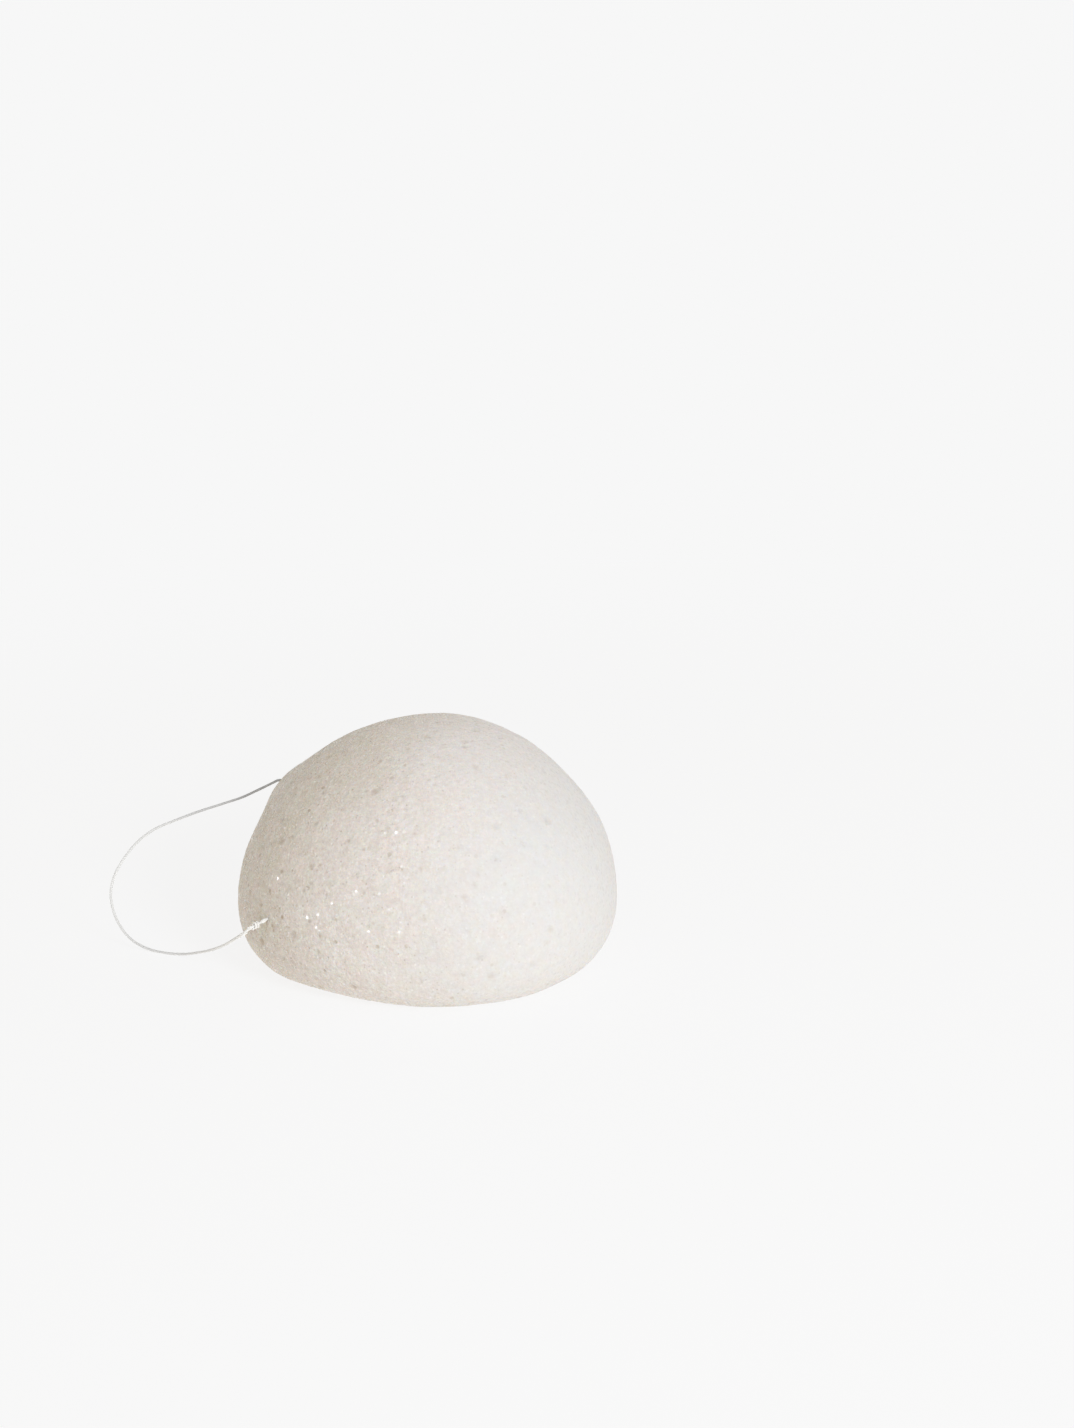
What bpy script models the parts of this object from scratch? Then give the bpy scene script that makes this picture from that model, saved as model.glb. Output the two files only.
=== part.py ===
# Half-ball face sponge of konjac foam, stitched with a knotted thread to hang it by.
# Lengths are in metres and +Z is up. The foot stands on the floor, centred on the origin.
# The front is -Y, and the thread leaves the foam on the -X side.

import math

import bmesh
import bpy
from mathutils import Vector

# Moulded foam half-ball
wide_radius = 0.0375
wide_height = 0.0114
ball_height = 0.0476
foot_radius = 0.0285
foot_cut = 0.0005
corner_swell = 0.0008
lip_height = 0.001
lip_spread = 0.0041

corner_count = 3
foam_sides = 48
edge_rings = 6
dome_rings = 14
crease_angle = math.radians(50)

# Where the thread goes through the foam
upper_hole_angle = math.radians(162)
upper_hole_height = 0.033
lower_hole_angle = math.radians(215.4)
lower_hole_height = 0.0149
upper_exit_shares = (-0.80, 0.58, -0.18)
lower_exit_shares = (-0.83, -0.44, -0.34)
stitch_run = 0.003
stitch_bow = 0.0025

# Cotton thread
thread_radius = 0.0003
channel_clearance = 0.0003
meeting_gap = 0.0003
upper_stub = 0.0006
exit_run = 0.0007
thread_point_gap = 0.0014
channel_overrun = 0.0012

# Knot that closes the thread into a loop
knot_standoff = 0.002
knot_length = 0.0017
knot_radius = 0.0007
wrap_depth = 0.00012

knot_sides = 18
knot_rings = 24
knot_squareness = 3
wrap_turns = 3

# The loop between the upper hole and the knot: out to the side, down to rest on the floor,
# and back up to the knot in front.
loop_route = [
    (-0.0318, 0.0120, 0.0320),
    (-0.0341, 0.0131, 0.0307),
    (-0.0373, 0.0139, 0.0291),
    (-0.0417, 0.0144, 0.0276),
    (-0.0466, 0.0144, 0.0261),
    (-0.0515, 0.0138, 0.0245),
    (-0.0555, 0.0130, 0.0230),
    (-0.0588, 0.0120, 0.0208),
    (-0.0616, 0.0110, 0.0177),
    (-0.0637, 0.0099, 0.0141),
    (-0.0644, 0.0088, 0.0109),
    (-0.0639, 0.0076, 0.0079),
    (-0.0625, 0.0064, 0.0049),
    (-0.0603, 0.0053, 0.0024),
    (-0.0569, 0.0039, 0.0008),
    (-0.0531, 0.0022, 0.0004),
    (-0.0493, 0.0000, 0.0008),
    (-0.0458, -0.0036, 0.0023),
    (-0.0424, -0.0086, 0.0045),
    (-0.0392, -0.0140, 0.0072),
    (-0.0365, -0.0187, 0.0099),
    (-0.0346, -0.0219, 0.0119),
    (-0.0336, -0.0231, 0.0128),
]


def clear_scene():
    for item in list(bpy.data.objects):
        bpy.data.objects.remove(item, do_unlink=True)


def add_material(name, colour, roughness):
    material = bpy.data.materials.new(name)
    material.use_nodes = True
    shader = material.node_tree.nodes["Principled BSDF"]
    shader.inputs["Base Color"].default_value = (*colour, 1)
    shader.inputs["Roughness"].default_value = roughness
    shader.inputs["Metallic"].default_value = 0
    return material


def add_object(name, data, material):
    item = bpy.data.objects.new(name, data)
    bpy.context.scene.collection.objects.link(item)
    if material:
        data.materials.append(material)
    return item


def lofted_mesh(name, rings, crown=None):
    """Skins a list of rings, bottom first, and closes the top on a crown point or a face."""
    shape = bmesh.new()
    loops = [[shape.verts.new(point) for point in ring] for ring in rings]
    count = len(loops[0])
    for lower, upper in zip(loops, loops[1:]):
        for index in range(count):
            following = (index + 1) % count
            shape.faces.new((lower[index], lower[following], upper[following], upper[index]))
    shape.faces.new(list(reversed(loops[0])))
    if crown is None:
        shape.faces.new(loops[-1])
    else:
        top = shape.verts.new(crown)
        for index in range(count):
            shape.faces.new((loops[-1][index], loops[-1][(index + 1) % count], top))
    mesh = bpy.data.meshes.new(name)
    shape.to_mesh(mesh)
    shape.free()
    mesh.shade_smooth()
    mesh.set_sharp_from_angle(angle=crease_angle)
    return mesh


def foam_radius(height):
    """Outline of the half-ball: a quarter ellipse for the dome over a rounded lower edge."""
    if height > wide_height:
        rise = (height - wide_height) / (ball_height - wide_height)
        return wide_radius * math.sqrt(max(0, 1 - rise ** 2))
    drop = (wide_height - height) / (wide_height + foot_cut)
    return foot_radius + (wide_radius - foot_radius) * math.sqrt(1 - drop ** 2)


def foam_point(angle, height):
    """A point of the foam before the lip: round, but for three soft corners."""
    radius = foam_radius(height)
    swell = corner_swell * radius / wide_radius * math.cos(corner_count * angle)
    reach = radius - swell
    return Vector((reach * math.cos(angle), reach * math.sin(angle), height))


def ring_heights():
    edge_start = math.acos(wide_height / (wide_height + foot_cut))
    heights = []
    for index in range(edge_rings):
        turn = edge_start + (math.pi / 2 - edge_start) * index / edge_rings
        heights.append(wide_height - (wide_height + foot_cut) * math.cos(turn))
    for index in range(dome_rings):
        turn = math.pi / 2 * index / dome_rings
        heights.append(wide_height + (ball_height - wide_height) * math.sin(turn))
    return heights


def ring_angles():
    return [2 * math.pi * index / foam_sides for index in range(foam_sides)]


def foam_middle():
    """Centre of the foam's own width, which is set over the origin."""
    across = [foam_point(angle, height).x for height in ring_heights() for angle in ring_angles()]
    return Vector(((max(across) + min(across)) / 2, 0, 0))


def raised_lip(point, hole):
    """The pull of the thread lifts the foam around its upper hole."""
    outward = (point - Vector((0, 0, wide_height))).normalized()
    nearness = math.exp(-((point - hole).length / lip_spread) ** 2 / 2)
    return point + outward * lip_height * nearness


def smooth_curve(route, spacing):
    """Points at an even spacing along a smooth curve through the route's own points."""
    marks = [0]
    for start, end in zip(route, route[1:]):
        marks.append(marks[-1] + (end - start).length)
    slopes = [(route[1] - route[0]) / (marks[1] - marks[0])]
    for index in range(1, len(route) - 1):
        before = (route[index] - route[index - 1]) / (marks[index] - marks[index - 1])
        after = (route[index + 1] - route[index]) / (marks[index + 1] - marks[index])
        weight = (marks[index] - marks[index - 1]) / (marks[index + 1] - marks[index - 1])
        slopes.append(before * (1 - weight) + after * weight)
    slopes.append((route[-1] - route[-2]) / (marks[-1] - marks[-2]))

    steps = max(1, round(marks[-1] / spacing))
    points = []
    for step in range(steps + 1):
        place = marks[-1] * step / steps
        index = 0
        while index < len(route) - 2 and place > marks[index + 1]:
            index += 1
        run = marks[index + 1] - marks[index]
        share = (place - marks[index]) / run
        ease_out = (1 + 2 * share) * (1 - share) ** 2
        ease_in = share ** 2 * (3 - 2 * share)
        leave = share * (1 - share) ** 2 * run
        arrive = share ** 2 * (share - 1) * run
        points.append(route[index] * ease_out + route[index + 1] * ease_in
                      + slopes[index] * leave + slopes[index + 1] * arrive)
    return points


def tube_curve(name, points, radius):
    curve = bpy.data.curves.new(name, "CURVE")
    curve.dimensions = "3D"
    curve.bevel_depth = radius
    curve.bevel_resolution = 2
    curve.use_fill_caps = True
    spline = curve.splines.new("POLY")
    spline.points.add(len(points) - 1)
    for place, point in zip(spline.points, points):
        place.co = (*point, 1)
    return curve


def add_sponge(hole, material):
    middle = foam_middle()
    rings = []
    for height in ring_heights():
        ring = [foam_point(angle, height) - middle for angle in ring_angles()]
        rings.append([raised_lip(point, hole) for point in ring])
    crown = foam_point(0, ball_height) - middle
    return add_object("sponge_body", lofted_mesh("sponge_body", rings, crown), material)


def cut_channel(sponge, route):
    """Bores the foam along the thread, right through both surfaces."""
    outer = route[0] + (route[0] - route[1]).normalized() * channel_overrun
    inner = route[-1] + (route[-1] - route[-2]).normalized() * channel_overrun
    points = smooth_curve([outer, *route, inner], thread_point_gap)
    curve = tube_curve("channel_path", points, thread_radius + channel_clearance)
    path = add_object("channel_path", curve, None)
    bpy.context.view_layer.update()
    depsgraph = bpy.context.evaluated_depsgraph_get()
    cutter_mesh = bpy.data.meshes.new_from_object(path.evaluated_get(depsgraph))
    bpy.data.objects.remove(path, do_unlink=True)
    cutter = add_object("channel_cutter", cutter_mesh, None)
    cutter.hide_render = True
    cutter.display_type = "WIRE"
    bore = sponge.modifiers.new("thread channel", "BOOLEAN")
    bore.operation = "DIFFERENCE"
    bore.solver = "EXACT"
    bore.object = cutter


def stitch_route(upper_hole, upper_exit, lower_hole, lower_exit):
    """The thread inside the foam, from its upper stub to the face that meets the knot."""
    halfway = (upper_hole + lower_hole) / 2
    inward = Vector((-halfway.x, -halfway.y, 0)).normalized()
    lower_stub = knot_standoff - knot_length / 2 - meeting_gap
    return [
        upper_hole + upper_exit * upper_stub,
        upper_hole - upper_exit * stitch_run,
        halfway + inward * stitch_bow,
        lower_hole - lower_exit * stitch_run,
        lower_hole + lower_exit * lower_stub,
    ]


def knot_rings_along(axis):
    """Rings of a barrel knot: wraps wind round it, and its flat ends match the thread."""
    side = axis.orthogonal().normalized()
    across = axis.cross(side)
    rings = []
    for index in range(knot_rings + 1):
        share = index / knot_rings
        fullness = 1 - abs(2 * share - 1) ** knot_squareness
        body = thread_radius + (knot_radius - thread_radius) * fullness
        middle = axis * knot_length * (share - 1 / 2)
        ring = []
        for step in range(knot_sides):
            turn = 2 * math.pi * step / knot_sides
            wave = math.cos(2 * math.pi * wrap_turns * share - turn)
            radius = body - wrap_depth * fullness * (1 - wave) / 2
            ring.append(middle + (side * math.cos(turn) + across * math.sin(turn)) * radius)
        rings.append(ring)
    return rings


def build():
    clear_scene()
    foam = add_material("konjac foam", (0.82, 0.79, 0.73), 0.7)
    cotton = add_material("cotton thread", (0.84, 0.83, 0.81), 0.9)

    middle = foam_middle()
    hole = foam_point(upper_hole_angle, upper_hole_height) - middle
    upper_hole = raised_lip(hole, hole)
    lower_hole = foam_point(lower_hole_angle, lower_hole_height) - middle
    upper_exit = Vector(upper_exit_shares).normalized()
    lower_exit = Vector(lower_exit_shares).normalized()

    sponge = add_sponge(hole, foam)
    stitch = stitch_route(upper_hole, upper_exit, lower_hole, lower_exit)
    cut_channel(sponge, stitch)
    buried = tube_curve("buried_thread", smooth_curve(stitch, thread_point_gap), thread_radius)
    add_object("buried_thread", buried, cotton)

    # The loop swings on the line between its two ends, each a gap away from the stitch.
    knot_middle = lower_hole + lower_exit * knot_standoff
    upper_end = stitch[0] + upper_exit * meeting_gap
    lower_end = knot_middle + lower_exit * (knot_length / 2 + meeting_gap)
    upper_pivot = stitch[0] + upper_exit * meeting_gap / 2
    lower_pivot = stitch[-1] + lower_exit * meeting_gap / 2

    pivot = bpy.data.objects.new("loop_pivot", None)
    bpy.context.scene.collection.objects.link(pivot)
    pivot.location = lower_pivot

    route = [upper_end, upper_end + upper_exit * exit_run]
    route += [Vector(point) for point in loop_route]
    route += [lower_end + lower_exit * exit_run, lower_end]
    points = [point - lower_pivot for point in smooth_curve(route, thread_point_gap)]
    loop = add_object("hanging_loop", tube_curve("hanging_loop", points, thread_radius), cotton)
    loop.parent = pivot

    knot = add_object("loop_knot", lofted_mesh("loop_knot", knot_rings_along(lower_exit)), cotton)
    knot.parent = pivot
    knot.location = knot_middle - lower_pivot

    swing_axis = (upper_pivot - lower_pivot).normalized()
    print("swing pivot", tuple(round(value, 6) for value in lower_pivot))
    print("swing axis", tuple(round(value, 5) for value in swing_axis))
    print("loop length", round(sum((b - a).length for a, b in zip(points, points[1:])), 5))


build()
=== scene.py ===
# Konjac face sponge with its cotton hanging loop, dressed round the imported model.
# Lengths are in metres, and mm turns a millimetre into metres.

import math
import random

import bmesh
import bpy
import numpy as np
from mathutils import Matrix, Vector, kdtree, noise


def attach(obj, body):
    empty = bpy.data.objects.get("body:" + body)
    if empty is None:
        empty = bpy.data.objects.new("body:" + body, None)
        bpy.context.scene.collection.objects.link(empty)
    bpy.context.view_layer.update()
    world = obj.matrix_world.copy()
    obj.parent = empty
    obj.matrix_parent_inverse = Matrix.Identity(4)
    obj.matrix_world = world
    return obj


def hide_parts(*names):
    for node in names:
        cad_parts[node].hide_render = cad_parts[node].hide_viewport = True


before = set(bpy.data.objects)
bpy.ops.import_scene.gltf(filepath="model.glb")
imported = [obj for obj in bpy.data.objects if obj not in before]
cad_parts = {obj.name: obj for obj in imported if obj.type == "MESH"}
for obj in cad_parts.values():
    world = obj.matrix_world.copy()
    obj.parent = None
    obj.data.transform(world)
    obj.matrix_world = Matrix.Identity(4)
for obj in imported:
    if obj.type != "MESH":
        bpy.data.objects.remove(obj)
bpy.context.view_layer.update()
mm = 0.001


def linearColour(hexText):
    shades = [int(hexText[place:place + 2], 16) / 255 for place in (1, 3, 5)]
    return [
        shade / 12.92 if shade <= 0.04045 else ((shade + 0.055) / 1.055) ** 2.4
        for shade in shades
    ]


def addNode(tree, kind, inputs=None, **settings):
    node = tree.nodes.new(kind)
    for name, value in settings.items():
        setattr(node, name, value)
    for socket, value in (inputs or {}).items():
        if isinstance(value, bpy.types.NodeSocket):
            tree.links.new(value, node.inputs[socket])
        elif isinstance(value, str):
            node.inputs[socket].default_value = (*linearColour(value), 1)
        else:
            node.inputs[socket].default_value = value
    return node


def startMaterial(name, finish):
    material = bpy.data.materials.new(name)
    material.use_nodes = True
    shader = material.node_tree.nodes["Principled BSDF"]
    for socket, value in finish.items():
        shader.inputs[socket].default_value = value
    return material, material.node_tree, shader


def addPiece(name, mesh, material):
    piece = bpy.data.objects.new(name, mesh)
    bpy.context.scene.collection.objects.link(piece)
    mesh.materials.clear()
    mesh.materials.append(material)
    mesh.shade_smooth()
    return piece


# Camera, where the photograph was taken from

photoCamera = {
    "place": (22.631 * mm, -429.556 * mm, 153.017 * mm),
    "degreesDown": 13.71,
    "degreesRolled": -1.45,
    "lens": 57.33,
}


def addCamera():
    data = bpy.data.cameras.new("photoCamera")
    data.lens = photoCamera["lens"]
    camera = bpy.data.objects.new("photoCamera", data)
    bpy.context.scene.collection.objects.link(camera)
    tilt = Matrix.Rotation(math.radians(90 - photoCamera["degreesDown"]), 4, "X")
    roll = Matrix.Rotation(math.radians(photoCamera["degreesRolled"]), 4, "Z")
    camera.matrix_world = Matrix.Translation(photoCamera["place"]) @ tilt @ roll
    bpy.context.scene.camera = camera


addCamera()

# Form of the foam and where the thread goes through it

foamForm = {
    "wideRadius": 37.5 * mm,
    "wideHeight": 11.4 * mm,
    "ballHeight": 47.6 * mm,
    "footRadius": 28.5 * mm,
    "footCut": 0.5 * mm,
    "cornerSwell": 0.8 * mm,
    "corners": 3,
    "lipHeight": 1.0 * mm,
    "lipSpread": 4.1 * mm,
}

stitch = {
    "upperAngle": 162,
    "upperHeight": 33.0 * mm,
    "upperExit": (-0.80, 0.58, -0.18),
    "lowerAngle": 215.4,
    "lowerHeight": 14.9 * mm,
    "lowerExit": (-0.83, -0.44, -0.34),
    "straightRun": 3.0 * mm,
    "bow": 2.5 * mm,
    "upperStub": 0.6 * mm,
    "gap": 0.3 * mm,
    "exitRun": 0.7 * mm,
    "knotStandoff": 2.0 * mm,
    "knotLength": 1.7 * mm,
}


def foamRadius(height):
    wide, high = foamForm["wideHeight"], foamForm["ballHeight"]
    if height > wide:
        rise = (height - wide) / (high - wide)
        return foamForm["wideRadius"] * math.sqrt(max(0, 1 - rise ** 2))
    drop = (wide - height) / (wide + foamForm["footCut"])
    overhang = foamForm["wideRadius"] - foamForm["footRadius"]
    return foamForm["footRadius"] + overhang * math.sqrt(1 - drop ** 2)


def foamPoint(degrees, height):
    angle = math.radians(degrees)
    swellShare = foamForm["cornerSwell"] / foamForm["wideRadius"]
    reach = foamRadius(height) * (1 - swellShare * math.cos(foamForm["corners"] * angle))
    return Vector((reach * math.cos(angle) + foamForm["cornerSwell"], reach * math.sin(angle), height))


def raiseLip(point, hole):
    outward = (point - Vector((0, 0, foamForm["wideHeight"]))).normalized()
    nearness = math.exp(-((point - hole).length / foamForm["lipSpread"]) ** 2 / 2)
    return point + outward * foamForm["lipHeight"] * nearness


def smoothCurve(route, spacing):
    # even steps along a curve that passes smoothly through every point of the route
    marks = [0]
    for start, end in zip(route, route[1:]):
        marks.append(marks[-1] + (end - start).length)
    slopes = [(route[1] - route[0]) / (marks[1] - marks[0])]
    for index in range(1, len(route) - 1):
        before = (route[index] - route[index - 1]) / (marks[index] - marks[index - 1])
        after = (route[index + 1] - route[index]) / (marks[index + 1] - marks[index])
        weight = (marks[index] - marks[index - 1]) / (marks[index + 1] - marks[index - 1])
        slopes.append(before * (1 - weight) + after * weight)
    slopes.append((route[-1] - route[-2]) / (marks[-1] - marks[-2]))
    steps = max(1, round(marks[-1] / spacing))
    points, index = [], 0
    for step in range(steps + 1):
        place = marks[-1] * step / steps
        while index < len(route) - 2 and place > marks[index + 1]:
            index += 1
        run = marks[index + 1] - marks[index]
        share = (place - marks[index]) / run
        points.append(
            route[index] * (1 + 2 * share) * (1 - share) ** 2
            + route[index + 1] * share ** 2 * (3 - 2 * share)
            + slopes[index] * share * (1 - share) ** 2 * run
            + slopes[index + 1] * share ** 2 * (share - 1) * run
        )
    return points


upperHoleLow = foamPoint(stitch["upperAngle"], stitch["upperHeight"])
upperHole = raiseLip(upperHoleLow, upperHoleLow)
lowerHole = foamPoint(stitch["lowerAngle"], stitch["lowerHeight"])
upperExit = Vector(stitch["upperExit"]).normalized()
lowerExit = Vector(stitch["lowerExit"]).normalized()
lowerStub = stitch["knotStandoff"] - stitch["knotLength"] / 2 - stitch["gap"]
knotMiddle = lowerHole + lowerExit * stitch["knotStandoff"]
upperPivot = upperHole + upperExit * (stitch["upperStub"] + stitch["gap"] / 2)
lowerPivot = lowerHole + lowerExit * (lowerStub + stitch["gap"] / 2)
loopStart = upperPivot + upperExit * stitch["gap"] / 2
loopEnd = knotMiddle + lowerExit * (stitch["knotLength"] / 2 + stitch["gap"])
halfway = (upperHole + lowerHole) / 2

# The free stretch: out to the side, down on to the floor, and back up to the knot
loopRoute = [
    (-0.0318, 0.0120, 0.0320),
    (-0.0341, 0.0131, 0.0307),
    (-0.0373, 0.0139, 0.0291),
    (-0.0417, 0.0144, 0.0276),
    (-0.0466, 0.0144, 0.0261),
    (-0.0515, 0.0138, 0.0245),
    (-0.0555, 0.0130, 0.0230),
    (-0.0588, 0.0120, 0.0208),
    (-0.0616, 0.0110, 0.0177),
    (-0.0637, 0.0099, 0.0141),
    (-0.0644, 0.0088, 0.0109),
    (-0.0639, 0.0076, 0.0079),
    (-0.0625, 0.0064, 0.0049),
    (-0.0603, 0.0053, 0.0024),
    (-0.0569, 0.0039, 0.0008),
    (-0.0531, 0.0022, 0.0004),
    (-0.0493, 0.0000, 0.0008),
    (-0.0458, -0.0036, 0.0023),
    (-0.0424, -0.0086, 0.0045),
    (-0.0392, -0.0140, 0.0072),
    (-0.0365, -0.0187, 0.0099),
    (-0.0346, -0.0219, 0.0119),
    (-0.0336, -0.0231, 0.0128),
]

# Cotton thread: plies twisted round each other, looser near the knot and beside the lower hole

cotton = {
    "diameter": 0.6 * mm,
    "plies": 3,
    "plyRadius": 0.21 * mm,
    "plySpread": 0.05 * mm,
    "twistLength": 1.3 * mm,
    "ringGap": 0.15 * mm,
    "sides": 10,
    "endDegrees": (35, 60, 80),
    "unevenness": 0.07,
    "unevenLength": 3 * mm,
    "unevenPlace": 23.6,
    "looseFrom": 16 * mm,
    "looseTo": 3 * mm,
    "looseSpread": 0.16,
    "squeezeRun": 0.3 * mm,
    "stubRise": 0.3,
    "stubFall": (0.6, 1.2),
    "stubLoosening": 2.2,
    "stubSwelling": 0.25,
    "fibreSize": 0.09 * mm,
    "fibreDepth": 0.03 * mm,
    "fibreEdge": (0.35, 0.6),
    "shadeBetweenFibres": "#f2f2f2",
    "onFibres": "#ffffff",
    "finish": {
        "Roughness": 0.6,
        "Sheen Weight": 0.1,
        "Sheen Roughness": 0.5,
        "Subsurface Weight": 0.3,
        "Subsurface Radius": (1, 1, 1),
        "Subsurface Scale": 0.2 * mm,
    },
}

# Painted shade and light along the thread, by the distance from the upper hole in millimetres: grey
# where the foam shades it by the upper hole, lighter where the lamp reaches it, whitest by the knot
threadPaintedShade = [
    (0, "#b6b6b6"), (9, "#b6b6b6"), (15, "#d0d0d0"), (20, "#d6d6d6"),
    (28, "#efefee"), (42, "#fafaf9"), (52, "#efefee"), (60, "#e6e6e6"),
    (71, "#ececec"), (78, "#fafaf9"), (86, "#fefefd"), (100, "#fffdf9"),
]

knotWork = {
    "coreShare": 0.8,
    "roomToSwing": 0.62 * mm,
    "turns": 2.6,
    "wrapLength": 1.25 * mm,
    "wrapRadius": 0.23 * mm,
    "wrapReach": 0.38 * mm,
    "lumps": 2,
    "lumpHeight": 0.13 * mm,
    "lean": 0.28 * mm,
    "leanTurn": 0.6,
    "tuckRun": 0.12,
    "tuckedReach": 0.35,
    "tuckedRadius": 0.5,
    "tailLength": 11 * mm,
    "tailTwist": (2.2 * mm, 7 * mm),
    "tailTight": 6 * mm,
    "tailLeanRun": 0.1,
    "tailSettleFrom": 0.15,
    "tailReach": 0.3 * mm,
    "tailRadius": 0.16 * mm,
    "tipReach": 0.55,
    "tipRadius": 0.25,
    "twistLength": 1.5 * mm,
    "spreadShare": 0.53,
    "plyShare": 0.47,
    "ringGap": 0.07 * mm,
}


def cottonMaterial():
    # spun cotton: matt, with fine fibres along each ply that catch a little light; a fibre is
    # 0.015 mm thick, which is too fine to show, so the fibres are drawn six times as coarse
    material, tree, shader = startMaterial("spunCotton", cotton["finish"])
    place = addNode(tree, "ShaderNodeTexCoord").outputs["Object"]
    fibres = addNode(tree, "ShaderNodeTexNoise", {
        "Vector": place, "Scale": 1 / cotton["fibreSize"], "Detail": 3, "Roughness": 0.6,
    }).outputs["Fac"]
    low, high = cotton["fibreEdge"]
    raised = addNode(tree, "ShaderNodeMapRange", {
        "Value": fibres, "From Min": low, "From Max": high,
    }).outputs["Result"]
    # a little darker between the raised fibres, as painted shade
    depth = addNode(tree, "ShaderNodeMix", {
        "Factor": raised, "A": cotton["shadeBetweenFibres"], "B": cotton["onFibres"],
    }, data_type="RGBA").outputs["Result"]
    # painted shade along the thread: grey where the foam shades it, white where the lamp reaches it
    paintedShade = addNode(tree, "ShaderNodeAttribute", attribute_name="paintedShade").outputs["Color"]
    spun = addNode(tree, "ShaderNodeMix", {
        "Factor": 1.0, "A": paintedShade, "B": depth,
    }, data_type="RGBA", blend_type="MULTIPLY").outputs["Result"]
    bump = addNode(tree, "ShaderNodeBump", {
        "Height": fibres, "Strength": 0.4, "Distance": cotton["fibreDepth"],
    }).outputs["Normal"]
    tree.links.new(spun, shader.inputs["Base Color"])
    tree.links.new(bump, shader.inputs["Normal"])
    return material


def sidesAlong(points, firstSide=None):
    # for each point, the way the line runs and a side that doesn't twist round it
    ways = []
    for index in range(len(points)):
        after, before = points[min(index + 1, len(points) - 1)], points[max(index - 1, 0)]
        ways.append((after - before).normalized())
    side = firstSide or ways[0].orthogonal()
    sides = []
    for way in ways:
        side = (side - way * side.dot(way)).normalized()
        sides.append(side)
    return ways, sides


def addTube(verts, faces, points, radii, sideCount):
    ways, sides = sidesAlong(points)
    start = len(verts)
    for point, radius, way, side in zip(points, radii, ways, sides):
        across = way.cross(side)
        for step in range(sideCount):
            turn = 2 * math.pi * step / sideCount
            verts.append(point + (side * math.cos(turn) + across * math.sin(turn)) * radius)
    for ring in range(len(points) - 1):
        low = start + ring * sideCount
        high = low + sideCount
        for step in range(sideCount):
            following = (step + 1) % sideCount
            faces.append((low + step, low + following, high + following, high + step))
    faces.append([start + step for step in reversed(range(sideCount))])
    last = start + (len(points) - 1) * sideCount
    faces.append([last + step for step in range(sideCount)])


def meshOf(name, verts, faces):
    mesh = bpy.data.meshes.new(name)
    mesh.from_pydata(verts, [], faces)
    mesh.validate()
    return mesh


def roundedEnd(ring, outward):
    # smaller rings past an end, so that the bend at a joint shows no flat cut
    point, way, side, turn, spread, radius, shadePlace = ring
    rings = []
    for degrees in cotton["endDegrees"]:
        past = (spread + radius) * math.sin(math.radians(degrees)) * outward
        size = math.cos(math.radians(degrees))
        turned = turn + 2 * math.pi * past / cotton["twistLength"]
        middle = point + way * past
        rings.append((middle, way, side, turned, spread * size, radius * size, shadePlace))
    return rings


def twistedMesh(name, rings):
    # plies wound round the line of the rings, each ring given the painted shade of its place along the
    # thread
    verts, faces = [], []
    radii = [ring[5] for ring in rings]
    for ply in range(cotton["plies"]):
        middles = []
        for point, way, side, turn, spread, _, _ in rings:
            angle = turn + 2 * math.pi * ply / cotton["plies"]
            across = way.cross(side)
            middles.append(point + (side * math.cos(angle) + across * math.sin(angle)) * spread)
        addTube(verts, faces, middles, radii, cotton["sides"])
    mesh = meshOf(name, verts, faces)
    marks = [distance * mm for distance, _ in threadPaintedShade]
    shades = np.array([linearColour(paintedShade) for _, paintedShade in threadPaintedShade])
    shadePlaces = [ring[6] for ring in rings]
    channels = [np.interp(shadePlaces, marks, shades[:, channel]) for channel in range(3)]
    paintedShades = np.stack([*channels, np.ones(len(rings))], -1)
    everyVert = np.tile(np.repeat(paintedShades, cotton["sides"], axis=0), (cotton["plies"], 1))
    mesh.attributes.new("paintedShade", "FLOAT_COLOR", "POINT").data.foreach_set("color", everyVert.ravel())
    return mesh


def distancesAlong(points):
    distances = [0]
    for start, end in zip(points, points[1:]):
        distances.append(distances[-1] + (end - start).length)
    return distances


def easedStep(value, low, high):
    share = min(1, max(0, (value - low) / (high - low)))
    return share * share * (3 - 2 * share)


def loopPath():
    # round the loop from the upper pivot, then straight through the knot to the lower pivot
    outside = [loopStart, *[Vector(point) for point in loopRoute]]
    outside += [loopEnd + lowerExit * stitch["exitRun"], loopEnd]
    path = [upperPivot, *smoothCurve(outside, cotton["ringGap"])]
    knotSteps = round((loopEnd - lowerPivot).length / cotton["ringGap"])
    path += [loopEnd.lerp(lowerPivot, (step + 1) / knotSteps) for step in range(knotSteps)]
    return path


def insidePath(lowerReach, upperReach, spacing):
    # from outside the lower hole, bowed towards the middle of the foam, out of the upper hole
    inward = Vector((-halfway.x, -halfway.y, 0)).normalized()
    return smoothCurve([
        lowerHole + lowerExit * lowerReach,
        lowerHole - lowerExit * stitch["straightRun"],
        halfway + inward * stitch["bow"],
        upperHole - upperExit * stitch["straightRun"],
        upperHole + upperExit * upperReach,
    ], spacing)


def loopThickness(places):
    # uneven as spun thread is, looser towards the knot, and pressed together inside it
    knotStart = places[-1] - (loopEnd - lowerPivot).length
    spreads, radii = [], []
    for place in places:
        wave = noise.noise(Vector((place / cotton["unevenLength"], cotton["unevenPlace"], 0)))
        uneven = 1 + cotton["unevenness"] * wave
        loose = easedStep(place, knotStart - cotton["looseFrom"], knotStart - cotton["looseTo"])
        pressed = easedStep(place, knotStart - cotton["squeezeRun"], knotStart + cotton["squeezeRun"])
        squeeze = 1 - (1 - knotWork["coreShare"]) * pressed
        spreads.append(cotton["plySpread"] * uneven * (1 + cotton["looseSpread"] * loose) * squeeze)
        radii.append(cotton["plyRadius"] * uneven * squeeze)
    return spreads, radii


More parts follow.
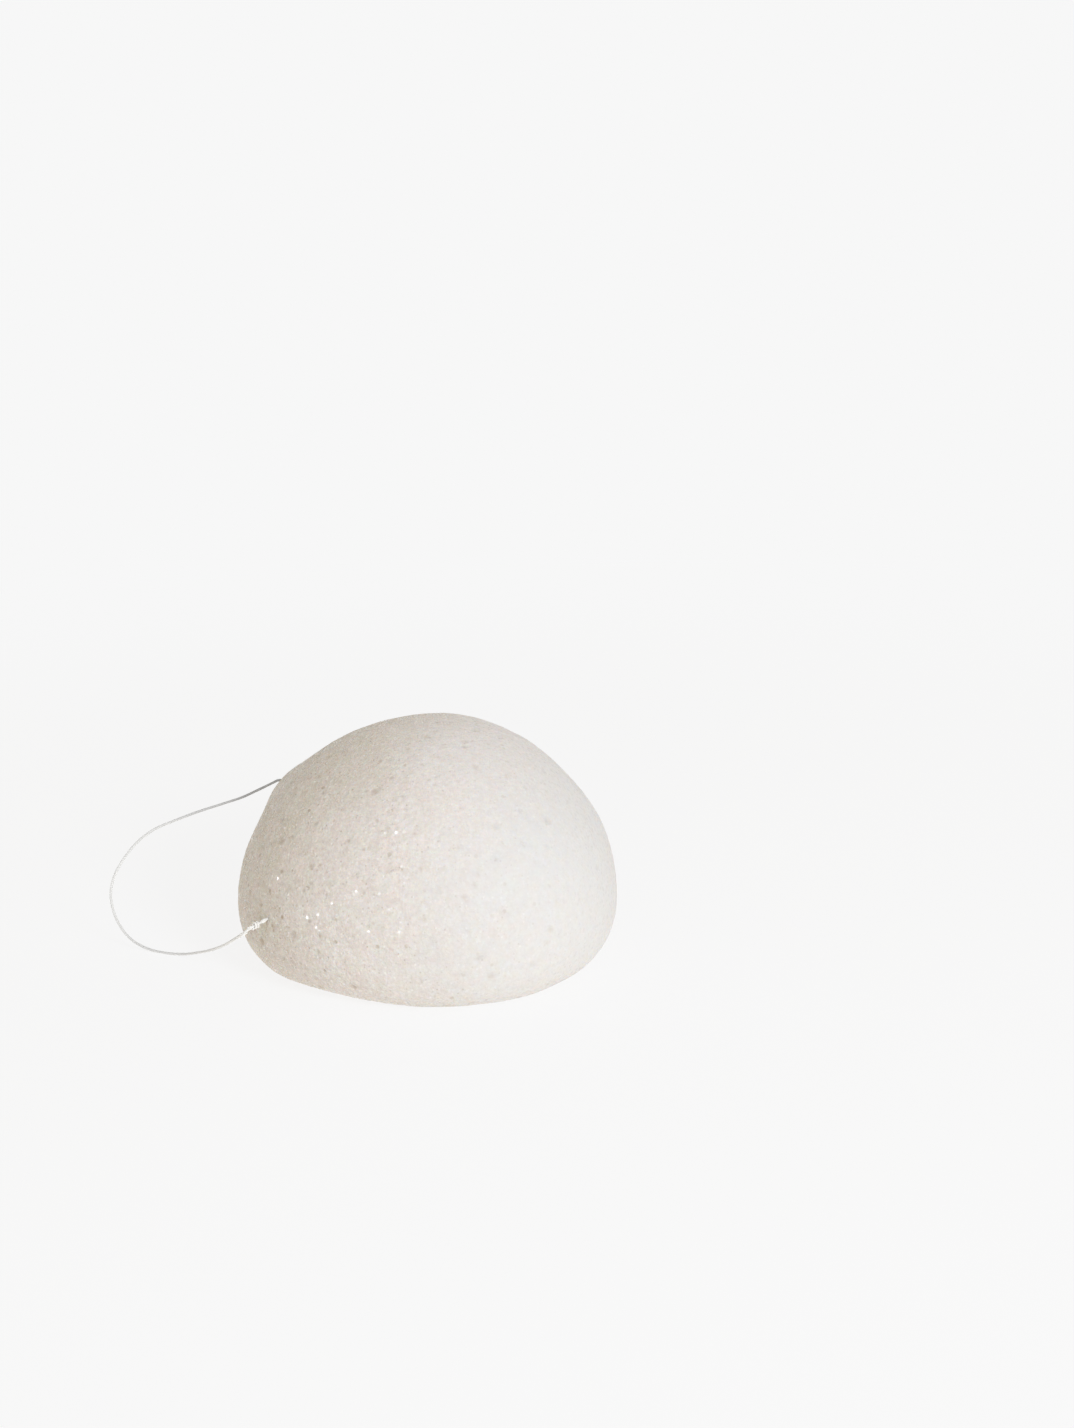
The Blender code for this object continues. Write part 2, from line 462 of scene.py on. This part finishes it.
def insideThickness(places):
    # the plies part just outside the lower hole
    riseEnd = cotton["stubRise"] * lowerStub
    fallStart, fallEnd = [share * lowerStub for share in cotton["stubFall"]]
    spreads, radii = [], []
    for place in places:
        parted = easedStep(place, 0, riseEnd) * (1 - easedStep(place, fallStart, fallEnd))
        spreads.append(cotton["plySpread"] * (1 + cotton["stubLoosening"] * parted))
        radii.append(cotton["plyRadius"] * (1 + cotton["stubSwelling"] * parted))
    return spreads, radii


def addThread():
    spunCotton = cottonMaterial()
    loop = loopPath()
    inside = [lowerPivot, *insidePath(lowerStub, stitch["upperStub"], cotton["ringGap"]), upperPivot]
    loopWays, loopSides = sidesAlong(loop)
    insideWays, insideSides = sidesAlong(inside, loopSides[-1])
    loopPlaces, insidePlaces = distancesAlong(loop), distancesAlong(inside)

    # the twist runs on from one stretch to the other, so the plies meet at both pivots
    loopTurns = [2 * math.pi * place / cotton["twistLength"] for place in loopPlaces]
    insideTurns = [
        loopTurns[-1] + 2 * math.pi * place / cotton["twistLength"] for place in insidePlaces
    ]
    endAcross = insideWays[-1].cross(insideSides[-1])
    reached = insideTurns[-1] - math.atan2(
        loopSides[0].dot(endAcross), loopSides[0].dot(insideSides[-1])
    )
    spare = -reached % (2 * math.pi / cotton["plies"])
    insideTurns = [
        turn + spare * place / insidePlaces[-1] for turn, place in zip(insideTurns, insidePlaces)
    ]

    shadePlaces = [loopPlaces[-1] * (1 - place / insidePlaces[-1]) for place in insidePlaces]
    loopRings = list(zip(
        loop, loopWays, loopSides, loopTurns, *loopThickness(loopPlaces), loopPlaces,
    ))
    insideRings = list(zip(
        inside, insideWays, insideSides, insideTurns, *insideThickness(insidePlaces), shadePlaces,
    ))
    for rings in (loopRings, insideRings):
        rings[:] = [*reversed(roundedEnd(rings[0], -1)), *rings, *roundedEnd(rings[-1], 1)]
    loopMesh = twistedMesh("thread_loop_twisted", loopRings)
    insideMesh = twistedMesh("stitched_thread", insideRings)
    loopPiece = addPiece("thread_loop_twisted", loopMesh, spunCotton)
    insidePiece = addPiece("stitched_thread", insideMesh, spunCotton)
    knotPiece = addKnot(loop, loopPlaces, loopWays, loopSides, spunCotton)

    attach(loopPiece, "thread_loop")
    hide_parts("hanging_loop")
    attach(knotPiece, "thread_loop")
    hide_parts("loop_knot")
    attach(insidePiece, "sponge")
    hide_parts("buried_thread")
    print("thread laid, loop", round(loopPlaces[-1] / mm, 1), "mm")


def addKnot(loop, loopPlaces, loopWays, loopSides, material):
    # wraps round the thread beside the lower hole, whose spare end winds back along the loop
    points, radii = [], []

    def lay(place, angle, reach, leaning, radius):
        leant = place + knotWork["lean"] * math.cos(angle - knotWork["leanTurn"]) * leaning
        index = min(range(len(loopPlaces)), key=lambda step: abs(loopPlaces[step] - leant))
        way, side = loopWays[index], loopSides[index]
        middle = loop[index] + way * (leant - loopPlaces[index])
        points.append(middle + (side * math.cos(angle) + way.cross(side) * math.sin(angle)) * reach)
        radii.append(radius)

    wrapEnd = loopPlaces[-1] - knotWork["roomToSwing"]
    wrapTurn = 2 * math.pi * knotWork["turns"]
    wrapSteps = round(wrapTurn * knotWork["wrapReach"] / knotWork["ringGap"])
    tuckedReach, tuckedRadius = knotWork["tuckedReach"], knotWork["tuckedRadius"]
    for step in range(wrapSteps + 1):
        share = step / wrapSteps
        out = easedStep(share, 0, knotWork["tuckRun"])
        lump = knotWork["lumpHeight"] * math.sin(math.pi * knotWork["lumps"] * share) ** 2
        reach = knotWork["wrapReach"] * (tuckedReach + (1 - tuckedReach) * out) + lump
        radius = knotWork["wrapRadius"] * (tuckedRadius + (1 - tuckedRadius) * out)
        lay(wrapEnd - knotWork["wrapLength"] * share, -wrapTurn * share, reach, out, radius)

    angle = -wrapTurn
    tight, slack = knotWork["tailTwist"]
    tailSteps = round(knotWork["tailLength"] / cotton["ringGap"])
    tipReach, tipRadius = knotWork["tipReach"], knotWork["tipRadius"]
    for step in range(1, tailSteps + 1):
        share = step / tailSteps
        gone = knotWork["tailLength"] * share
        slackened = easedStep(gone, knotWork["tailTight"] / 2, knotWork["tailTight"])
        twist = tight + (slack - tight) * slackened
        angle -= 2 * math.pi * knotWork["tailLength"] / tailSteps / twist
        left = 1 - easedStep(share, knotWork["tailSettleFrom"], 1)
        reach = knotWork["tailReach"] * (tipReach + (1 - tipReach) * left)
        radius = knotWork["tailRadius"] * (tipRadius + (1 - tipRadius) * left)
        leaning = 1 - easedStep(share, 0, knotWork["tailLeanRun"])
        lay(wrapEnd - knotWork["wrapLength"] - gone, angle, reach, leaning, radius)

    places = distancesAlong(points)
    ways, sides = sidesAlong(points)
    turns = [2 * math.pi * place / knotWork["twistLength"] for place in places]
    spreads = [radius * knotWork["spreadShare"] for radius in radii]
    plyRadii = [radius * knotWork["plyShare"] for radius in radii]
    shadePlaces = [loopPlaces[-1] - place for place in places]
    rings = list(zip(points, ways, sides, turns, spreads, plyRadii, shadePlaces))
    return addPiece("knot_wraps", twistedMesh("knot_wraps", rings), material)


addThread()

# Konjac foam, moulded and dried

foamSkin = {
    "gridSteps": 124,
    "domeSteps": 240,
    "sideSteps": 120,
    "footSteps": 100,
    "footSkin": 0.02 * mm,
    "seed": 11,
    "pitCount": 360,
    "footPitCount": 420,
    "pitRadius": (0.55 * mm, 1.3 * mm),
    "pitSmallness": 2.5,
    "pitDepthShare": 0.17,
    "pitDepthSpread": (0.4, 1.2),
    "pitShade": (0.25, 1),
    "lowerDimple": 0.22 * mm,
    "upperDimple": 0.11 * mm,
    "dimpleSpread": 0.9 * mm,
    "fineReach": 3.2 * mm,
    "fineCuts": 2,
    "channelRadius": 0.33 * mm,
    "channelSides": 20,
    "channelPastHoles": (2 * lowerStub, 3 * stitch["upperStub"]),  # the lower one, the upper one
    "channelStep": 3 * cotton["ringGap"],
}

# Swellings, lumps and grain of the skin: size, height and place in the noise
foamWaves = [
    (15 * mm, 0.16 * mm, (0, 0, 0)),
    (4.5 * mm, 0.07 * mm, (7, 3, 1)),
    (1.1 * mm, 0.05 * mm, (2, 9, 4)),
]

# Where drying and handling pushed the soft form: place, push and reach in millimetres
foamPushes = [
    ((-20, -22.5, 0.5), (0.3, 0.2, 0.9), 8),
    ((-8, -29.5, 0), (0, 0.1, 0.5), 6),
    ((-33, -12, 3), (0.3, 0, 0.1), 6),
    ((-36, -3, 16), (0.18, 0, 0), 9),
    ((-33, 0.8, 28.5), (0.5, 0, -0.2), 5),
    ((-22, 4.8, 39.5), (0.25, 0, -0.25), 6),
    ((28, 7.6, 34.5), (-0.35, 0, -0.3), 5),
    ((8, 10, 45.7), (0, 0, 0.25), 6),
    ((35.5, 3, 23), (0.35, 0, 0), 6),
]

foamTint = {
    # the beige of the greenish and pinkish tints is mostly painted shade for the side away from the
    # lamp, and the milky and pale tints mostly painted light for the side towards it
    "greenish": "#d8d2bc",
    "pinkish": "#e3d9cd",
    "milky": "#f0ebe8",
    "pale": "#e2e1e0",
    "shadow": "#c8bbb0",
    # brown for pores, pinholes and pits: partly their own colour, partly painted shade in the hollows
    "poreColourAndShade": "#a8947c",
    "crystal": "#fffdf9",
    "blush": "#eddfd9",
    "cool": "#e6e8dc",
    # hue and grain each change across the sponge, along a way and between two places on it; the hue's
    # change follows the lamp, as painted shade on the side away from it and painted light on the side
    # towards it
    "paintedShadeWay": (0.85, -0.42, -0.32),
    "grainWay": (0.85, -0.42, 0.3),
    "changes": {
        "milky": ("paintedShadeWay", -22 * mm, -6 * mm),
        "pale": ("paintedShadeWay", -2 * mm, 18 * mm),
        "smooth": ("grainWay", -6 * mm, 41 * mm),
    },
    "borderWander": 4 * mm,
    "smoothGrain": 0.2,
    # soft clouds: size, detail, and the values between which each one comes in
    "clouds": {
        "wander": (14 * mm, 2, 0.3, 0.7),
        "patches": (4 * mm, 3, 0.33, 0.56),
        "blush": (2.6 * mm, 2, 0.42, 0.64),
        "cool": (2.1 * mm, 2, 0.42, 0.64),
        "stains": (1.9 * mm, 3, 0.36, 0.66),
        "mottle": (0.75 * mm, 2, 0.34, 0.66),
        "grains": (0.5 * mm, 2, 0.3, 0.7),
    },
    # round spots: spacing, radius, the share of the places that has one, and where it is strongest
    "spots": {
        "pores": (2.6 * mm, 0.5 * mm, 0.5, 0.0),
        "pinholes": (0.95 * mm, 0.24 * mm, 0.8, 0.0),
        # pale specks: partly the gel's pale grains, partly painted glints
        "specksAndGlints": (0.8 * mm, 0.26 * mm, 0.6, 0.0),
        "crystals": (1.0 * mm, 0.4 * mm, 1.0, 0.9),
    },
    "cellSize": 0.62 * mm,
    "cellEdge": (0.25, 0.75),
    "cellWander": 0.5 * mm,
    "cellWanderSize": 0.8 * mm,
    # colour over colour: what it lies on, how strong it is and its tint
    "layers": [
        ("blush", 0.6, "blush"),
        ("cool", 0.6, "cool"),
        ("stains", 0.3, "shadow"),
        ("mottle", 0.38, "shadow"),
        ("seams", 0.3, "shadow"),
        ("pinholes", 0.6, "poreColourAndShade"),
        ("pores", 0.7, "poreColourAndShade"),
        ("pits", 0.7, "poreColourAndShade"),
        ("specksAndGlints", 0.65, "crystal"),
        ("crystals", 0.12, "crystal"),
    ],
    "reliefDepth": 0.11 * mm,
    "seamSink": 0.5,
    "poreSink": 0.6,
    "crystalTip": 0.55,
    "crystalLean": (0.6, 0.12, -0.1),
    "finish": {
        "Coat Roughness": 0.2,
        "Coat IOR": 1.55,
        "Roughness": 0.62,
        "IOR": 1.4,
        "Subsurface Weight": 0.4,
        "Subsurface Radius": (1, 0.75, 0.5),
        "Subsurface Scale": 2.2 * mm,
    },
}


def addClouds(tree, place):
    clouds = {}
    for name, (size, detail, low, high) in foamTint["clouds"].items():
        wave = addNode(tree, "ShaderNodeTexNoise", {
            "Vector": place, "Scale": 1 / size, "Detail": detail, "Roughness": 0.6,
        }).outputs["Fac"]
        clouds[name] = addNode(tree, "ShaderNodeMapRange", {
            "Value": wave, "From Min": low, "From Max": high,
        }).outputs["Result"]
    return clouds


def addSpots(tree, place):
    # small open pores, pale specks and crystals of dried gel, in some cells of a net; the pale specks
    # are partly the gel's pale grains and partly painted glints
    spots, middles = {}, {}
    for name, (spacing, radius, share, strongest) in foamTint["spots"].items():
        net = addNode(tree, "ShaderNodeTexVoronoi", {"Vector": place, "Scale": 1 / spacing})
        chance = addNode(tree, "ShaderNodeSeparateColor", {"Color": net.outputs["Color"]}).outputs["Red"]
        strength = addNode(tree, "ShaderNodeMapRange", {
            "Value": chance, "From Min": share, "From Max": strongest,
        }).outputs["Result"]
        rim = radius / spacing
        inside = addNode(tree, "ShaderNodeMapRange", {
            "Value": net.outputs["Distance"], "From Min": rim, "From Max": rim * 0.5,
        }).outputs["Result"]
        spots[name] = addNode(tree, "ShaderNodeMath", {
            0: strength, 1: inside,
        }, operation="MULTIPLY").outputs[0]
        middles[name] = net.outputs["Position"]
    return spots, middles


def addChanges(tree, place, cloud):
    # from a deep, grainy skin on the left, away from the lamp, to a pale, smooth one on the right,
    # towards it, with a wandering border; the deep colour is painted shade and the pale one painted
    # light
    wander = addNode(tree, "ShaderNodeMath", {0: cloud, 1: 0.5}, operation="SUBTRACT").outputs[0]
    changes = {}
    for name, (way, start, end) in foamTint["changes"].items():
        across = addNode(tree, "ShaderNodeVectorMath", {
            0: place, 1: foamTint[way],
        }, operation="DOT_PRODUCT").outputs["Value"]
        drift = addNode(tree, "ShaderNodeMath", {
            0: wander, 1: 2 * foamTint["borderWander"], 2: across,
        }, operation="MULTIPLY_ADD").outputs[0]
        changes[name] = addNode(tree, "ShaderNodeMapRange", {
            "Value": drift, "From Min": start, "From Max": end,
        }).outputs["Result"]
    return changes


def addSeams(tree, place):
    # cells of the foam: a wandering net with rounded tops, and seams between them
    shift = addNode(tree, "ShaderNodeTexNoise", {
        "Vector": place, "Scale": 1 / foamTint["cellWanderSize"], "Detail": 2,
    }).outputs["Color"]
    wandered = addNode(tree, "ShaderNodeVectorMath", {
        0: shift, 1: (foamTint["cellWander"],) * 3, 2: place,
    }, operation="MULTIPLY_ADD").outputs["Vector"]
    cells = addNode(tree, "ShaderNodeTexVoronoi", {
        "Vector": wandered, "Scale": 1 / foamTint["cellSize"],
    }, feature="SMOOTH_F1").outputs["Distance"]
    low, high = foamTint["cellEdge"]
    return addNode(tree, "ShaderNodeMapRange", {
        "Value": cells, "From Min": low, "From Max": high,
    }).outputs["Result"]


def addSkinColour(tree, masks, changes, grainShare):
    skin = addNode(tree, "ShaderNodeMix", {
        "Factor": masks["patches"], "A": foamTint["greenish"], "B": foamTint["pinkish"],
    }, data_type="RGBA").outputs["Result"]
    # milky and then pale over the beige towards the lamp: painted light over painted shade
    for tint in ("milky", "pale"):
        skin = addNode(tree, "ShaderNodeMix", {
            "Factor": changes[tint], "A": skin, "B": foamTint[tint],
        }, data_type="RGBA").outputs["Result"]
    for name, share, tint in foamTint["layers"]:
        seen = addNode(tree, "ShaderNodeMath", {
            0: masks[name], 1: grainShare,
        }, operation="MULTIPLY").outputs[0]
        amount = addNode(tree, "ShaderNodeMath", {0: seen, 1: share}, operation="MULTIPLY").outputs[0]
        skin = addNode(tree, "ShaderNodeMix", {
            "Factor": amount, "A": skin, "B": foamTint[tint],
        }, data_type="RGBA").outputs["Result"]
    return skin


def addRelief(tree, masks, grainShare):
    # gel grains on the cells, and the small pores sunk between them
    height = addNode(tree, "ShaderNodeMath", {
        0: masks["seams"], 1: -foamTint["seamSink"], 2: masks["grains"],
    }, operation="MULTIPLY_ADD").outputs[0]
    for name in ("pores", "pinholes"):
        height = addNode(tree, "ShaderNodeMath", {
            0: masks[name], 1: -foamTint["poreSink"], 2: height,
        }, operation="MULTIPLY_ADD").outputs[0]
    return addNode(tree, "ShaderNodeBump", {
        "Height": height, "Strength": grainShare, "Distance": foamTint["reliefDepth"],
    }).outputs["Normal"]


def addFacets(tree, middles):
    # each crystal's flat face looks its own way, so that a few catch the lamp
    tip = foamTint["crystalTip"]
    ownWay = addNode(tree, "ShaderNodeTexWhiteNoise", {"Vector": middles}).outputs["Color"]
    normal = addNode(tree, "ShaderNodeNewGeometry").outputs["Normal"]
    leaning = addNode(tree, "ShaderNodeVectorMath", {
        0: normal, 1: [lean - tip / 2 for lean in foamTint["crystalLean"]],
    }, operation="ADD").outputs["Vector"]
    facing = addNode(tree, "ShaderNodeVectorMath", {
        0: ownWay, 1: (tip,) * 3, 2: leaning,
    }, operation="MULTIPLY_ADD").outputs["Vector"]
    return addNode(tree, "ShaderNodeVectorMath", {0: facing}, operation="NORMALIZE").outputs["Vector"]


def konjacFoamMaterial():
    # konjac gel foam, moulded and freeze-dried: milky and matt, with fine cells and pale crystals that
    # glint; its cells are about 0.3 mm across and its grains 0.25 mm, which is too fine to show in the
    # render, so cells, mottle and grains are drawn two to two and a half times as coarse
    material, tree, shader = startMaterial("konjacFoamMoulded", foamTint["finish"])
    place = addNode(tree, "ShaderNodeTexCoord").outputs["Object"]
    clouds = addClouds(tree, place)
    spots, middles = addSpots(tree, place)
    changes = addChanges(tree, place, clouds["wander"])
    grainShare = addNode(tree, "ShaderNodeMapRange", {
        "Value": changes["smooth"], "To Min": 1.0, "To Max": foamTint["smoothGrain"],
    }).outputs["Result"]
    seams = addSeams(tree, place)
    # darkening of the pits, partly their own colour and partly painted shade in the hollows
    pits = addNode(tree, "ShaderNodeAttribute", attribute_name="poreColourAndShade").outputs["Fac"]
    masks = {**clouds, **spots, "seams": seams, "pits": pits}
    glint = addNode(tree, "ShaderNodeMath", {
        0: spots["crystals"], 1: grainShare,
    }, operation="MULTIPLY").outputs[0]
    tree.links.new(addSkinColour(tree, masks, changes, grainShare), shader.inputs["Base Color"])
    tree.links.new(addRelief(tree, masks, grainShare), shader.inputs["Normal"])
    tree.links.new(glint, shader.inputs["Coat Weight"])
    tree.links.new(addFacets(tree, middles["crystals"]), shader.inputs["Coat Normal"])
    return material


def roundGrid(steps):
    # unit directions on an even grid of six squares, and the squares' corners
    spread = np.tan(np.linspace(-1, 1, steps + 1) * math.pi / 4)
    first, second = np.meshgrid(spread, spread, indexing="ij")
    level = np.ones_like(first)
    sheets = []
    for axis in range(3):
        for sign in (1, -1):
            columns = [None, None, None]
            columns[axis] = level * sign
            columns[(axis + 1) % 3] = first * sign
            columns[(axis + 2) % 3] = second
            sheets.append(np.stack(columns, -1).reshape(-1, 3))
    corners = np.concatenate(sheets)
    corners /= np.linalg.norm(corners, axis=1, keepdims=True)
    keys = np.round(corners * 1e6).astype(np.int64)  # corners that two sheets share get the same key
    keep, same = np.unique(keys, axis=0, return_index=True, return_inverse=True)[1:]
    same = same.reshape(6, steps + 1, steps + 1)
    quads = np.stack(
        [same[:, :-1, :-1], same[:, 1:, :-1], same[:, 1:, 1:], same[:, :-1, 1:]], -1
    ).reshape(-1, 4)
    return corners[keep], quads


def foamProfile():
    # radius and height from the crown to the middle of the foot, with the length so far
    wide, high = foamForm["wideHeight"], foamForm["ballHeight"]
    dome, side, foot = foamSkin["domeSteps"], foamSkin["sideSteps"], foamSkin["footSteps"]
    deep = wide + foamForm["footCut"]
    heights = [wide + (high - wide) * math.cos(math.pi / 2 * step / dome) for step in range(dome + 1)]
    floorAngle = math.asin(wide / deep)
    heights += [wide - deep * math.sin(floorAngle * step / side) for step in range(1, side + 1)]
    radii = [foamRadius(max(0, height)) for height in heights]
    heights += [0] * foot
    radii += [radii[-1] * (1 - step / foot) for step in range(1, foot + 1)]
    lengths = np.concatenate([[0], np.cumsum(np.hypot(np.diff(radii), np.diff(heights)))])
    return np.array(radii), np.array(heights), lengths


def foamMesh():
    directions, quads = roundGrid(foamSkin["gridSteps"])
    radii, heights, lengths = foamProfile()
    turn = np.arctan2(directions[:, 1], directions[:, 0])
    along = np.arccos(np.clip(directions[:, 2], -1, 1)) / math.pi * lengths[-1]
    swell = foamForm["cornerSwell"] / foamForm["wideRadius"] * np.cos(foamForm["corners"] * turn)
    reach = np.interp(along, lengths, radii) * (1 - swell)
    points = np.stack([
        reach * np.cos(turn) + foamForm["cornerSwell"],
        reach * np.sin(turn),
        np.interp(along, lengths, heights),
    ], -1)
    places = []
    for point in points:
        place = raiseLip(Vector(point), upperHoleLow)
        for middle, push, pushReach in foamPushes:
            away = (place / mm - Vector(middle)).length / pushReach
            place = place + Vector(push) * mm * math.exp(-away * away / 2)
        places.append(place)
    mesh = bpy.data.meshes.new("foam_skin")
    mesh.from_pydata(places, [], quads.tolist())

    # a finer net round both holes, where the thread draws the foam in
    shape = bmesh.new()
    shape.from_mesh(mesh)
    bmesh.ops.recalc_face_normals(shape, faces=shape.faces)
    holes = (upperHole, lowerHole)
    near = [
        edge for edge in shape.edges
        if min((edge.verts[0].co - hole).length for hole in holes) < foamSkin["fineReach"]
    ]
    bmesh.ops.subdivide_edges(shape, edges=near, cuts=foamSkin["fineCuts"], use_grid_fill=True)
    shape.to_mesh(mesh)
    shape.free()
    return mesh


def roughenFoam(mesh):
    rng = random.Random(foamSkin["seed"])
    count = len(mesh.vertices)
    points = [vertex.co.copy() for vertex in mesh.vertices]
    outward = [vertex.normal.copy() for vertex in mesh.vertices]
    relief = np.zeros(count)
    poreColourAndShade = np.zeros(count)
    for index, point in enumerate(points):
        relief[index] = sum(
            height * noise.noise(point / size + Vector(shift)) for size, height, shift in foamWaves
        )

    tree = kdtree.KDTree(count)
    for index, point in enumerate(points):
        tree.insert(point, index)
    tree.balance()
    onFoot = [index for index, point in enumerate(points) if point.z < foamSkin["footSkin"]]
    onDome = [index for index, point in enumerate(points) if point.z >= foamSkin["footSkin"]]
    small, large = foamSkin["pitRadius"]
    for choices, amount in ((onDome, foamSkin["pitCount"]), (onFoot, foamSkin["footPitCount"])):
        for _ in range(amount):
            size = small + (large - small) * rng.random() ** foamSkin["pitSmallness"]
            depth = size * foamSkin["pitDepthShare"] * rng.uniform(*foamSkin["pitDepthSpread"])
            # how dark the pit is painted: partly its own colour, partly painted shade in the hollow
            shade = rng.uniform(*foamSkin["pitShade"])
            for _, index, away in tree.find_range(points[rng.choice(choices)], size):
                bowl = (1 - (away / size) ** 2) ** 2
                relief[index] -= depth * bowl
                poreColourAndShade[index] = max(poreColourAndShade[index], shade * bowl)
    for index, point in enumerate(points):
        for hole, depth in ((lowerHole, foamSkin["lowerDimple"]), (upperHole, foamSkin["upperDimple"])):
            away = (point - hole).length
            if away < foamSkin["fineReach"]:
                relief[index] -= depth * math.exp(-(away / foamSkin["dimpleSpread"]) ** 2)

    moved = [point + way * lift for point, way, lift in zip(points, outward, relief)]
    for vertex, point in zip(mesh.vertices, moved):
        vertex.co = (point.x, point.y, max(0, point.z))
    mesh.attributes.new("poreColourAndShade", "FLOAT", "POINT").data.foreach_set("value", poreColourAndShade.astype(np.float32))
    mesh.update()


def cutThreadChannel(foam):
    path = insidePath(*foamSkin["channelPastHoles"], foamSkin["channelStep"])
    verts, faces = [], []
    addTube(verts, faces, path, [foamSkin["channelRadius"]] * len(path), foamSkin["channelSides"])
    cutter = bpy.data.objects.new("channel_cutter", meshOf("channel_cutter", verts, faces))
    bpy.context.scene.collection.objects.link(cutter)
    bore = foam.modifiers.new("thread channel", "BOOLEAN")
    bore.operation = "DIFFERENCE"
    bore.solver = "EXACT"
    bore.object = cutter
    bpy.context.view_layer.update()
    whole = foam.evaluated_get(bpy.context.evaluated_depsgraph_get())
    bored = bpy.data.meshes.new_from_object(whole)
    foam.modifiers.clear()
    foam.data = bored
    bpy.data.objects.remove(cutter, do_unlink=True)


def addFoam():
    mesh = foamMesh()
    roughenFoam(mesh)
    foam = addPiece("foam_half_ball", mesh, konjacFoamMaterial())
    cutThreadChannel(foam)
    foam.data.shade_smooth()
    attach(foam, "sponge")
    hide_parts("sponge_body")
    print("foam made,", len(foam.data.polygons), "faces")


addFoam()

# Floor, world and lamp

studio = {
    "floorRadius": 1.6,
    "floorSides": 96,
    "white": "#f7f7f7",
    "floorShare": 0.15,
    "floorLight": (0.77, 0.77, 0.76),
    "paper": "#b4b4b4",
    "fadeFrom": 0.12,
    "fadeTo": 0.45,
    "fill": "#cbc8c3",
    "keyPower": 4.15,
    "keyColour": "#f1f7ff",
    "keySize": 0.25,
    "keyDistance": 0.95,
    "keyDegreesRight": 29,
    "keyDegreesUp": 23,
}


def seenDirectly(tree):
    # 1 for the camera's rays and for what a mirror or glass would show, 0 for light on the object
    rays = addNode(tree, "ShaderNodeLightPath").outputs
    seen = rays["Is Camera Ray"]
    for kind in ("Is Glossy Ray", "Is Transmission Ray"):
        seen = addNode(tree, "ShaderNodeMath", {0: seen, 1: rays[kind]}, operation="MAXIMUM").outputs[0]
    return seen


def addFloor():
    # a white paper sweep: it takes the object's shadow softly, and fades to plain white further off
    material = bpy.data.materials.new("glowingPaperSweep")
    material.use_nodes = True
    tree = material.node_tree
    tree.nodes.clear()
    output = addNode(tree, "ShaderNodeOutputMaterial")
    place = addNode(tree, "ShaderNodeTexCoord").outputs["Object"]
    away = addNode(tree, "ShaderNodeVectorMath", {0: place}, operation="LENGTH").outputs["Value"]
    fade = addNode(tree, "ShaderNodeMapRange", {
        "Value": away, "From Min": studio["fadeFrom"], "From Max": studio["fadeTo"],
    }, interpolation_type="SMOOTHSTEP").outputs["Result"]
    # for the light it gives the object the floor glows with the fill colour, lighting the foam and
    # thread from below though it is no lamp, beside the paper's own reflection of the lamp
    floorGlow = addNode(tree, "ShaderNodeEmission", {"Color": studio["fill"], "Strength": 1.0})
    sheet = addNode(tree, "ShaderNodeBsdfDiffuse", {"Color": studio["paper"]})
    paper = addNode(tree, "ShaderNodeAddShader", {0: floorGlow.outputs[0], 1: sheet.outputs[0]})
    white = linearColour(studio["white"])[0]
    shade = studio["floorShare"]
    shadowed = addNode(tree, "ShaderNodeBsdfDiffuse", {"Color": (shade, shade, shade, 1)})
    glow = addNode(tree, "ShaderNodeEmission", {
        "Color": (*[white - shade * light for light in studio["floorLight"]], 1), "Strength": 1.0,
    })
    near = addNode(tree, "ShaderNodeAddShader", {0: shadowed.outputs[0], 1: glow.outputs[0]})
    far = addNode(tree, "ShaderNodeEmission", {"Color": studio["white"], "Strength": 1.0})
    seen = addNode(tree, "ShaderNodeMixShader", {0: fade, 1: near.outputs[0], 2: far.outputs[0]})
    both = addNode(tree, "ShaderNodeMixShader", {
        0: seenDirectly(tree), 1: paper.outputs[0], 2: seen.outputs[0],
    })
    tree.links.new(both.outputs[0], output.inputs["Surface"])
    shape = bmesh.new()
    bmesh.ops.create_circle(
        shape, cap_ends=True, segments=studio["floorSides"], radius=studio["floorRadius"],
    )
    mesh = bpy.data.meshes.new("floor")
    shape.to_mesh(mesh)
    shape.free()
    floor = addPiece("floor", mesh, material)


def addWorld():
    world = bpy.data.worlds.new("studioWhite")
    bpy.context.scene.world = world
    world.use_nodes = True
    tree = world.node_tree
    tree.nodes.clear()
    fill = addNode(tree, "ShaderNodeBackground", {"Color": studio["fill"], "Strength": 1.0})
    seen = addNode(tree, "ShaderNodeBackground", {"Color": studio["white"], "Strength": 1.0})
    both = addNode(tree, "ShaderNodeMixShader", {
        0: seenDirectly(tree), 1: fill.outputs[0], 2: seen.outputs[0],
    })
    output = addNode(tree, "ShaderNodeOutputWorld")
    tree.links.new(both.outputs[0], output.inputs["Surface"])


def addKeyLamp():
    # a round soft lamp in front and to the right, facing the middle of the foam
    data = bpy.data.lights.new("keyLamp", "AREA")
    data.shape = "DISK"
    data.size = studio["keySize"]
    data.energy = studio["keyPower"]
    data.color = linearColour(studio["keyColour"])
    lamp = bpy.data.objects.new("keyLamp", data)
    bpy.context.scene.collection.objects.link(lamp)
    right, up = math.radians(studio["keyDegreesRight"]), math.radians(studio["keyDegreesUp"])
    away = Vector((math.sin(right) * math.cos(up), -math.cos(right) * math.cos(up), math.sin(up)))
    middle = Vector((0, 0, foamForm["ballHeight"] / 2))
    lamp.location = middle + away * studio["keyDistance"]
    lamp.rotation_euler = away.to_track_quat("Z", "Y").to_euler()


addFloor()
addWorld()
addKeyLamp()
bpy.context.scene.view_settings.view_transform = "Standard"
print("studio ready")
